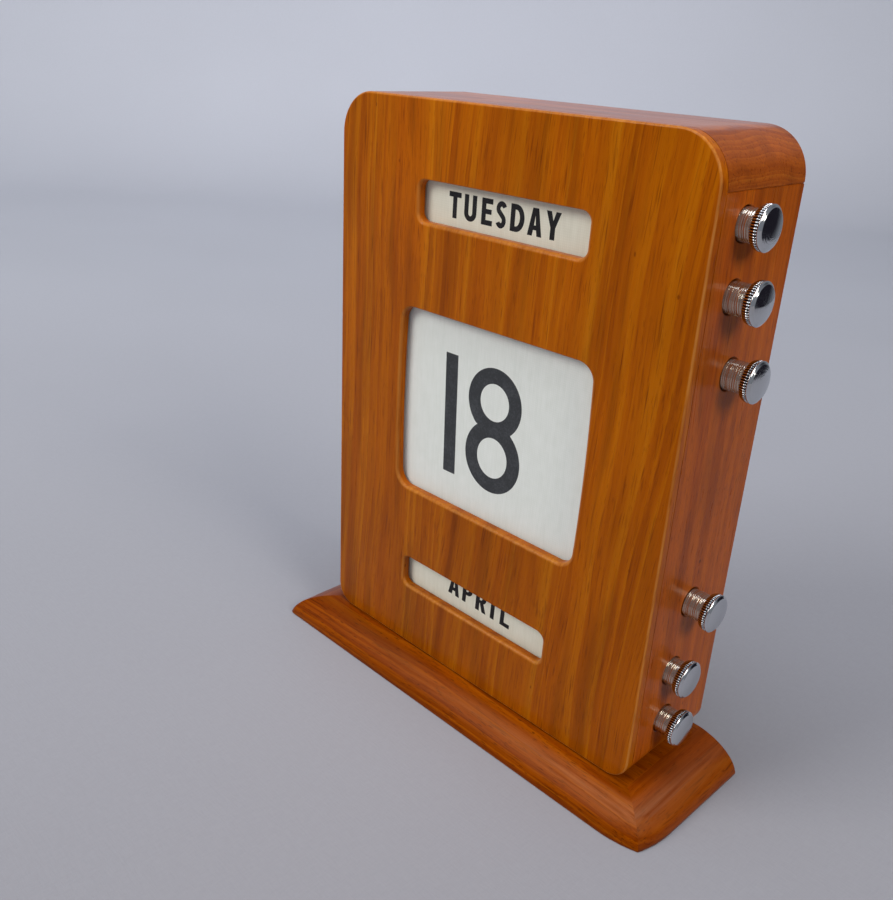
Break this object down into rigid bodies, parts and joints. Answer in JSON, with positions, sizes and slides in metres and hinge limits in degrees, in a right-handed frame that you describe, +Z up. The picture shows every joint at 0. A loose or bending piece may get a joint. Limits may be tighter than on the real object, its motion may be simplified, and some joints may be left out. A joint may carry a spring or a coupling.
{
  "type": "perpetual desk calendar",
  "caption": "Free-standing perpetual desk calendar: a wooden case with windows for day, date and month over printed bands, wound from roller to roller by chromed knobs on its right side.",
  "frame": {"origin": "middle of the base's flat underside", "axes": "+X towards the side with the knobs, +Y from the front to the back, +Z up"},
  "size_m": [0.2058, 0.0656, 0.2424],
  "materials": {
    "teak_front": "satin-gloss varnished orange-brown teak, upright grain",
    "teak_sides": "satin-gloss varnished red-brown teak",
    "teak_base": "gloss varnished teak, grain along the base",
    "beech_rollers": "bare turned beech",
    "chrome_knobs": "bright chromium plate, fluted rim",
    "steel_pins": "drawn steel",
    "brass_screws": "turned brass",
    "felt_washers": "pressed felt",
    "printed_linen": "matt starched linen, printed"
  },
  "bodies": {
    "case": {"base_plinth": "teak_base", "front_panel": "teak_front", "case_top": "teak_sides", "case_bottom": "teak_sides", "case_left_side": "teak_sides", "case_right_side": "teak_sides", "back_panel": "teak_sides", "back_screw_1": "brass_screws", "back_screw_2": "brass_screws", "back_screw_3": "brass_screws", "back_screw_4": "brass_screws", "back_screw_5": "brass_screws", "back_screw_6": "brass_screws", "base_screw_1": "brass_screws", "base_screw_2": "brass_screws", "day_band": "printed_linen", "date_band": "printed_linen", "month_band": "printed_linen", "day_upper_washer": "felt_washers", "day_lower_washer": "felt_washers", "date_upper_washer": "felt_washers", "date_lower_washer": "felt_washers", "month_upper_washer": "felt_washers", "month_lower_washer": "felt_washers", "day_upper_guide": "steel_pins", "day_lower_guide": "steel_pins", "date_upper_guide": "steel_pins", "date_lower_guide": "steel_pins", "month_upper_guide": "steel_pins", "month_lower_guide": "steel_pins"},
    "day_upper": {"day_upper_roller": "beech_rollers", "day_upper_knob": "chrome_knobs", "day_upper_pin": "steel_pins", "day_upper_coil": "printed_linen"},
    "day_lower": {"day_lower_roller": "beech_rollers", "day_lower_knob": "chrome_knobs", "day_lower_pin": "steel_pins", "day_lower_coil": "printed_linen"},
    "date_upper": {"date_upper_roller": "beech_rollers", "date_upper_knob": "chrome_knobs", "date_upper_pin": "steel_pins", "date_upper_coil": "printed_linen"},
    "date_lower": {"date_lower_roller": "beech_rollers", "date_lower_knob": "chrome_knobs", "date_lower_pin": "steel_pins", "date_lower_coil": "printed_linen"},
    "month_upper": {"month_upper_roller": "beech_rollers", "month_upper_knob": "chrome_knobs", "month_upper_pin": "steel_pins", "month_upper_coil": "printed_linen"},
    "month_lower": {"month_lower_roller": "beech_rollers", "month_lower_knob": "chrome_knobs", "month_lower_pin": "steel_pins", "month_lower_coil": "printed_linen"}
  },
  "joints": [
    {"name": "day_lower_turn", "type": "hinge", "parent": "case", "child": "day_lower", "pos_m": [0, -0.00089, 0.19394], "axis": [1, 0, 0], "range_deg": [-339.6, 679.2]},
    {"name": "day_upper_turn", "type": "hinge", "parent": "case", "child": "day_upper", "pos_m": [0, -0.00089, 0.21605], "axis": [1, 0, 0], "range_deg": [-333.4, 666.6]},
    {"name": "date_lower_turn", "type": "hinge", "parent": "case", "child": "date_lower", "pos_m": [0, 0.0076, 0.08137], "axis": [1, 0, 0], "range_deg": [-5775, 4416]},
    {"name": "date_upper_turn", "type": "hinge", "parent": "case", "child": "date_upper", "pos_m": [0, 0.00604, 0.16776], "axis": [1, 0, 0], "range_deg": [-6070, 4641.6]},
    {"name": "month_lower_turn", "type": "hinge", "parent": "case", "child": "month_lower", "pos_m": [0, 0.0021, 0.03247], "axis": [1, 0, 0], "range_deg": [-504.6, 1345.6]},
    {"name": "month_upper_turn", "type": "hinge", "parent": "case", "child": "month_upper", "pos_m": [0, 0.00247, 0.0539], "axis": [1, 0, 0], "range_deg": [-482.4, 1286.2]}
  ],
  "couplings": [
    {"joint": "day_upper_turn", "follows": "day_lower_turn", "ratio": 0.98118},
    {"joint": "date_upper_turn", "follows": "date_lower_turn", "ratio": 1.0511},
    {"joint": "month_upper_turn", "follows": "month_lower_turn", "ratio": 0.95566}
  ]
}
